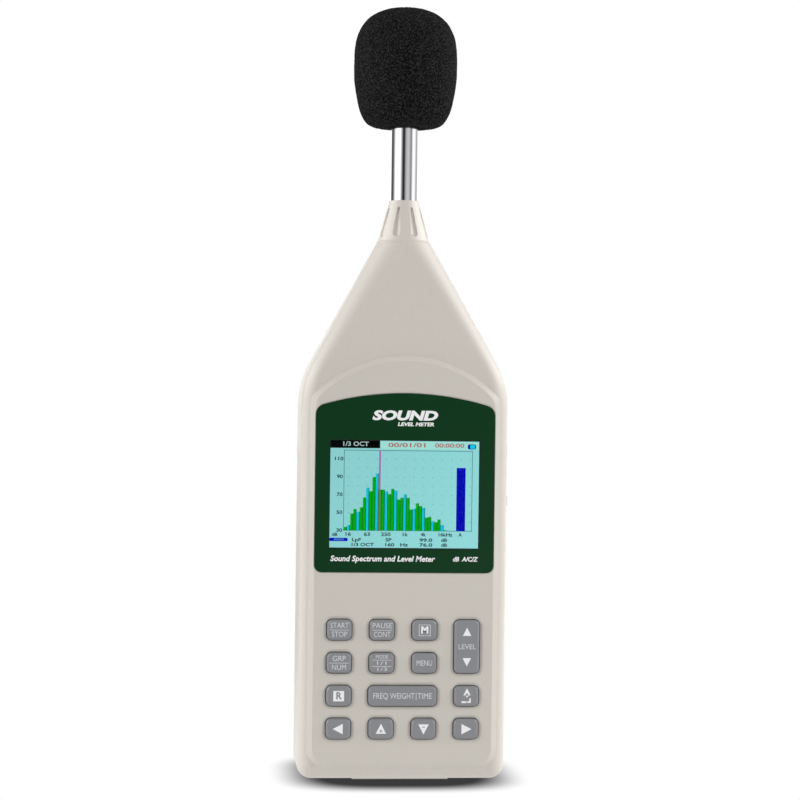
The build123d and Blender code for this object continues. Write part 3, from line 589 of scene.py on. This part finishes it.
CROSS = [rectangle(-0.7, -0.18, 0.7, 0.18), rectangle(-0.18, 0.18, 0.18, 0.7),
         rectangle(-0.18, -0.7, 0.18, -0.18)]
ink("key_up", "plus", [[(x, z - 0.9) for x, z in bar] for bar in CROSS], ink_grey, 2)
ink("key_down", "minus", [[(x, z + 0.9) for x, z in CROSS[0]]], ink_grey, 2)
ink("key_enter", "arrow", [triangle(0.3, 1.8, 3.2, 90), rectangle(-0.15, -0.4, 0.75, 1.2),
                           rounded(-2.3, -3.1, 0.4, -2.2, 0.4), rectangle(0.0, -3.0, 2.1, -2.25),
                           rectangle(1.4, -2.25, 2.1, -0.9)])


# ---------------------------------------------------------------- windscreen

VOXEL_MM = 0.55
PORE_MM = 1.1
PORE_DEPTH_MM = 0.45
PORE_REACH = 0.62
SWELL_MM = 4.0
SWELL_DEPTH_MM = 0.12
FULLNESS_MM = 0.5
BORE_REACH_MM = 9.0


def make_windscreen():
    """Foam ball: the moulded form remeshed finely and filled out sideways, then pitted with pores."""
    source = nodes["windscreen"]
    foam = bpy.data.objects.new("foam_windscreen", source.data.copy())
    bpy.context.scene.collection.objects.link(foam)
    remesh = foam.modifiers.new("remesh", "REMESH")
    remesh.mode = "VOXEL"
    remesh.voxel_size = VOXEL_MM * MM
    smooth = foam.modifiers.new("smooth", "SMOOTH")
    smooth.iterations = 6
    bpy.context.view_layer.update()
    evaluated = foam.evaluated_get(bpy.context.evaluated_depsgraph_get())
    mesh = bpy.data.meshes.new_from_object(evaluated)
    foam.modifiers.clear()
    foam.data = mesh
    mesh.update()
    moves = []
    for vertex in mesh.vertices:
        place = vertex.co / (PORE_MM * MM)
        distances, _ = noise.voronoi(place)
        pore = max(0.0, 1.0 - distances[0] / PORE_REACH)
        rough = noise.noise(vertex.co / (SWELL_MM * MM)) * SWELL_DEPTH_MM
        outside = math.hypot(vertex.co.x, vertex.co.y) > BORE_REACH_MM * MM
        sideways = Vector((vertex.normal.x, vertex.normal.y, 0.0)) * FULLNESS_MM * outside
        moves.append((vertex.normal * (-pore * PORE_DEPTH_MM + rough) + sideways) * MM)
    for vertex, move in zip(mesh.vertices, moves):
        vertex.co += move
    mesh.shade_smooth()
    keep(foam, looks["foam"], "windscreen")
    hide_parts("windscreen")


make_windscreen()


# ---------------------------------------------------------------- camera, floor and light

CAMERA_AZIMUTH = math.radians(-4.8)
CAMERA_DISTANCE = 1.086
CAMERA_ASIDE = -0.00065
CAMERA_HEIGHT = 0.1772
CAMERA_ROLL = math.radians(0.73)
CAMERA_FIELD = math.radians(19.87)


def make_camera():
    """A long lens at half height, a little to the left of the meter and a little turned about its axis."""
    data = bpy.data.cameras.new("camera")
    data.sensor_fit = "HORIZONTAL"
    data.angle = CAMERA_FIELD
    data.clip_start = 0.01
    camera = bpy.data.objects.new("camera", data)
    bpy.context.scene.collection.objects.link(camera)
    turn = Matrix.Rotation(CAMERA_AZIMUTH, 4, "Z") @ Matrix.Rotation(math.radians(90), 4, "X")
    place = Vector((math.sin(CAMERA_AZIMUTH), -math.cos(CAMERA_AZIMUTH), 0)) * CAMERA_DISTANCE
    place += Vector((math.cos(CAMERA_AZIMUTH), math.sin(CAMERA_AZIMUTH), 0)) * CAMERA_ASIDE
    place.z = CAMERA_HEIGHT
    camera.matrix_world = Matrix.Translation(place) @ turn @ Matrix.Rotation(CAMERA_ROLL, 4, "Z")
    bpy.context.scene.camera = camera


# Painted contact shadow on the floor under the foot: its half sizes, corner shape, soft edge and darkest level.
SHADOW_HALF_SIZES = (("X", 0.0503), ("Y", 0.048))
SHADOW_POWER = 3.4
SHADOW_CORE, SHADOW_REACH = 0.73, 1.24
SHADOW_DARK = 0.044
FLOOR_NEAR_GLOW = 0.84
FLOOR_GLOW = 0.75
FLOOR_NEAR, FLOOR_FAR = 0.25, 0.5
FLOOR_BANDS = 3.0
FLOOR_BAND_SWING = 0.6


def make_floor():
    """A wide pale floor; the camera sees it white, with a painted shadow, a soft dark patch, under the meter's
    foot.

    Everything else sees it evenly bright near the meter, and banded further off for plated metal to mirror.
    """
    size = 6.0
    corners = [(-size, -size, 0), (size, -size, 0), (size, size, 0), (-size, size, 0)]
    mesh = bpy.data.meshes.new("floor")
    mesh.from_pydata(corners, [], [(0, 1, 2, 3)])
    floor = bpy.data.objects.new("floor", mesh)
    bpy.context.scene.collection.objects.link(floor)
    look = Look("floor", BLACK, 0.9)
    tree = look.material.node_tree

    def math_node(operation, first, second):
        node = tree.nodes.new("ShaderNodeMath")
        node.operation = operation
        for socket, value in zip(node.inputs, (first, second)):
            if isinstance(value, float):
                socket.default_value = value
            else:
                tree.links.new(value, socket)
        return node.outputs["Value"]

    # Painted shadow: a dark rounded patch round the foot, fading outwards, that only camera rays see.
    split = tree.nodes.new("ShaderNodeSeparateXYZ")
    tree.links.new(look.position, split.inputs["Vector"])
    terms = []
    for axis, half_size in SHADOW_HALF_SIZES:
        share = math_node("DIVIDE", split.outputs[axis], half_size)
        size_only = math_node("ABSOLUTE", share, 0.0)
        terms.append(math_node("POWER", size_only, SHADOW_POWER))
    reach = math_node("POWER", math_node("ADD", *terms), 1.0 / SHADOW_POWER)
    painted_shadow = tree.nodes.new("ShaderNodeMapRange")
    painted_shadow.interpolation_type = "SMOOTHSTEP"
    painted_shadow.inputs["From Min"].default_value = SHADOW_CORE
    painted_shadow.inputs["From Max"].default_value = SHADOW_REACH
    painted_shadow.inputs["To Min"].default_value = SHADOW_DARK
    painted_shadow.inputs["To Max"].default_value = 1.0
    tree.links.new(reach, painted_shadow.inputs["Value"])
    turn = math_node("MULTIPLY", math_node("ARCTAN2", split.outputs["X"], split.outputs["Y"]), FLOOR_BANDS)
    band = tree.nodes.new("ShaderNodeMapRange")
    band.inputs["From Min"].default_value = -0.5
    band.inputs["From Max"].default_value = 0.5
    band.inputs["To Min"].default_value = FLOOR_GLOW - FLOOR_BAND_SWING
    band.inputs["To Max"].default_value = FLOOR_GLOW + FLOOR_BAND_SWING
    tree.links.new(math_node("SINE", turn, 0.0), band.inputs["Value"])
    squares = [math_node("MULTIPLY", split.outputs[axis], split.outputs[axis]) for axis in "XY"]
    far = tree.nodes.new("ShaderNodeMapRange")
    far.interpolation_type = "SMOOTHSTEP"
    far.inputs["From Min"].default_value = FLOOR_NEAR
    far.inputs["From Max"].default_value = FLOOR_FAR
    tree.links.new(math_node("POWER", math_node("ADD", *squares), 0.5), far.inputs["Value"])
    glow = tree.nodes.new("ShaderNodeMix")
    glow.inputs["A"].default_value = FLOOR_NEAR_GLOW
    tree.links.new(far.outputs["Result"], glow.inputs["Factor"])
    tree.links.new(band.outputs["Result"], glow.inputs["B"])
    ray = tree.nodes.new("ShaderNodeLightPath")
    seen = tree.nodes.new("ShaderNodeMix")
    tree.links.new(glow.outputs["Result"], seen.inputs["A"])
    tree.links.new(ray.outputs["Is Camera Ray"], seen.inputs["Factor"])
    tree.links.new(painted_shadow.outputs["Result"], seen.inputs["B"])
    tree.links.new(seen.outputs["Result"], look.shader.inputs["Emission Color"])
    look.set("Emission Strength", 1.0)
    look.set("Specular IOR Level", 0.0)
    floor.data.materials.append(look.material)


def area_light(name, place, target, size, power):
    """A rectangular soft light at place, aimed at target, both in metres."""
    data = bpy.data.lights.new(name, "AREA")
    data.shape = "RECTANGLE"
    data.size, data.size_y = size
    data.energy = power
    light = bpy.data.objects.new(name, data)
    bpy.context.scene.collection.objects.link(light)
    direction = Vector(target) - Vector(place)
    light.matrix_world = Matrix.Translation(place) @ direction.to_track_quat("-Z", "Y").to_matrix().to_4x4()
    return light


# Brightness of the studio near eye level, where the plated stem mirrors its strips and gaps: by degrees
# from the camera's side, positive to the right.
EYE_LEVEL = ((-180, 1.5), (-158, 1.4), (-142, 0.15), (-121, 0.07), (-105, 0.2), (-91, 0.8), (-80, 1.4),
             (-38, 1.4), (-29, 0.85), (-20, 0.28), (-11, 0.02), (0, 0.03), (6, 0.2), (15, 0.5), (33, 0.68),
             (42, 0.6), (52, 0.38), (62, 0.22), (73, 0.9), (84, 1.3), (96, 1.2), (111, 0.8), (128, 0.35),
             (155, 1.0), (170, 1.5), (180, 1.5))
# Brightness of the studio above eye level: by how far a direction leans to the left or right, -1 to 1.
OVERHEAD = ((-1.0, 6.6), (-0.86, 5.0), (-0.72, 1.7), (-0.6, 0.25),
            (0.6, 0.25), (0.72, 1.7), (0.84, 6.4), (1.0, 8.0))


WALL_LOW, WALL_HIGH = 0.16, 0.34


def make_world():
    """White to the camera; to everything else a studio with bright sides and a dark front."""
    world = bpy.data.worlds.new("studio")
    bpy.context.scene.world = world
    world.use_nodes = True
    tree = world.node_tree
    tree.nodes.clear()
    direction = tree.nodes.new("ShaderNodeTexCoord")
    split = tree.nodes.new("ShaderNodeSeparateXYZ")
    forward = tree.nodes.new("ShaderNodeMath")
    forward.operation = "MULTIPLY"
    forward.inputs[1].default_value = -1.0
    turn = tree.nodes.new("ShaderNodeMath")
    turn.operation = "ARCTAN2"
    tree.links.new(direction.outputs["Generated"], split.inputs["Vector"])
    tree.links.new(split.outputs["X"], turn.inputs[0])
    tree.links.new(split.outputs["Y"], forward.inputs[0])
    tree.links.new(forward.outputs["Value"], turn.inputs[1])
    fraction = tree.nodes.new("ShaderNodeMapRange")
    fraction.inputs["From Min"].default_value = -math.pi
    fraction.inputs["From Max"].default_value = math.pi
    tree.links.new(turn.outputs["Value"], fraction.inputs["Value"])

    def walls(value, levels):
        """A background whose brightness follows a value from 0 to 1, by stops of (place, level)."""
        ramp = tree.nodes.new("ShaderNodeValToRGB")
        stops = ramp.color_ramp.elements
        brightest = max(level for _, level in levels)
        last = len(levels) - 1
        for number, (position, level) in enumerate(levels):
            position = min(1.0, max(0.0, position))
            stop = stops[0] if number == 0 else stops[-1] if number == last else stops.new(position)
            stop.position = position
            stop.color = [level / brightest] * 3 + [1.0]
        tree.links.new(value, ramp.inputs["Fac"])
        background = tree.nodes.new("ShaderNodeBackground")
        background.inputs["Strength"].default_value = brightest
        tree.links.new(ramp.outputs["Color"], background.inputs["Color"])
        return background.outputs["Background"]

    def blend(factor, first, second):
        """Mixes two backgrounds."""
        mix = tree.nodes.new("ShaderNodeMixShader")
        tree.links.new(factor, mix.inputs["Fac"])
        tree.links.new(first, mix.inputs[1])
        tree.links.new(second, mix.inputs[2])
        return mix.outputs["Shader"]

    height = tree.nodes.new("ShaderNodeMapRange")
    height.interpolation_type = "SMOOTHSTEP"
    height.inputs["From Min"].default_value = WALL_LOW
    height.inputs["From Max"].default_value = WALL_HIGH
    tree.links.new(split.outputs["Z"], height.inputs["Value"])
    backdrop = tree.nodes.new("ShaderNodeBackground")
    backdrop.inputs["Color"].default_value = (1.0, 1.0, 1.0, 1.0)
    ray = tree.nodes.new("ShaderNodeLightPath")
    leaning = tree.nodes.new("ShaderNodeMapRange")
    leaning.inputs["From Min"].default_value = -1.0
    tree.links.new(split.outputs["X"], leaning.inputs["Value"])
    around = [(0.5 + (degrees + math.degrees(CAMERA_AZIMUTH)) / 360.0, level) for degrees, level in EYE_LEVEL]
    above = [(0.5 + 0.5 * lean, level) for lean, level in OVERHEAD]
    studio = blend(height.outputs["Result"], walls(fraction.outputs["Result"], around),
                   walls(leaning.outputs["Result"], above))
    shown_world = blend(ray.outputs["Is Camera Ray"], studio, backdrop.outputs["Background"])
    output = tree.nodes.new("ShaderNodeOutputWorld")
    tree.links.new(shown_world, output.inputs["Surface"])


make_camera()
make_floor()
make_world()
FILL_PLACE = (-0.4, -1.1, 1.3)
FILL_SIZE = (1.0, 0.6)
FILL_POWER = 1.45
METER_MIDDLE = (0.0, 0.0, 0.17)
area_light("front_fill", FILL_PLACE, METER_MIDDLE, FILL_SIZE, FILL_POWER)
bpy.context.scene.view_settings.view_transform = "Standard"

bpy.context.view_layer.update()
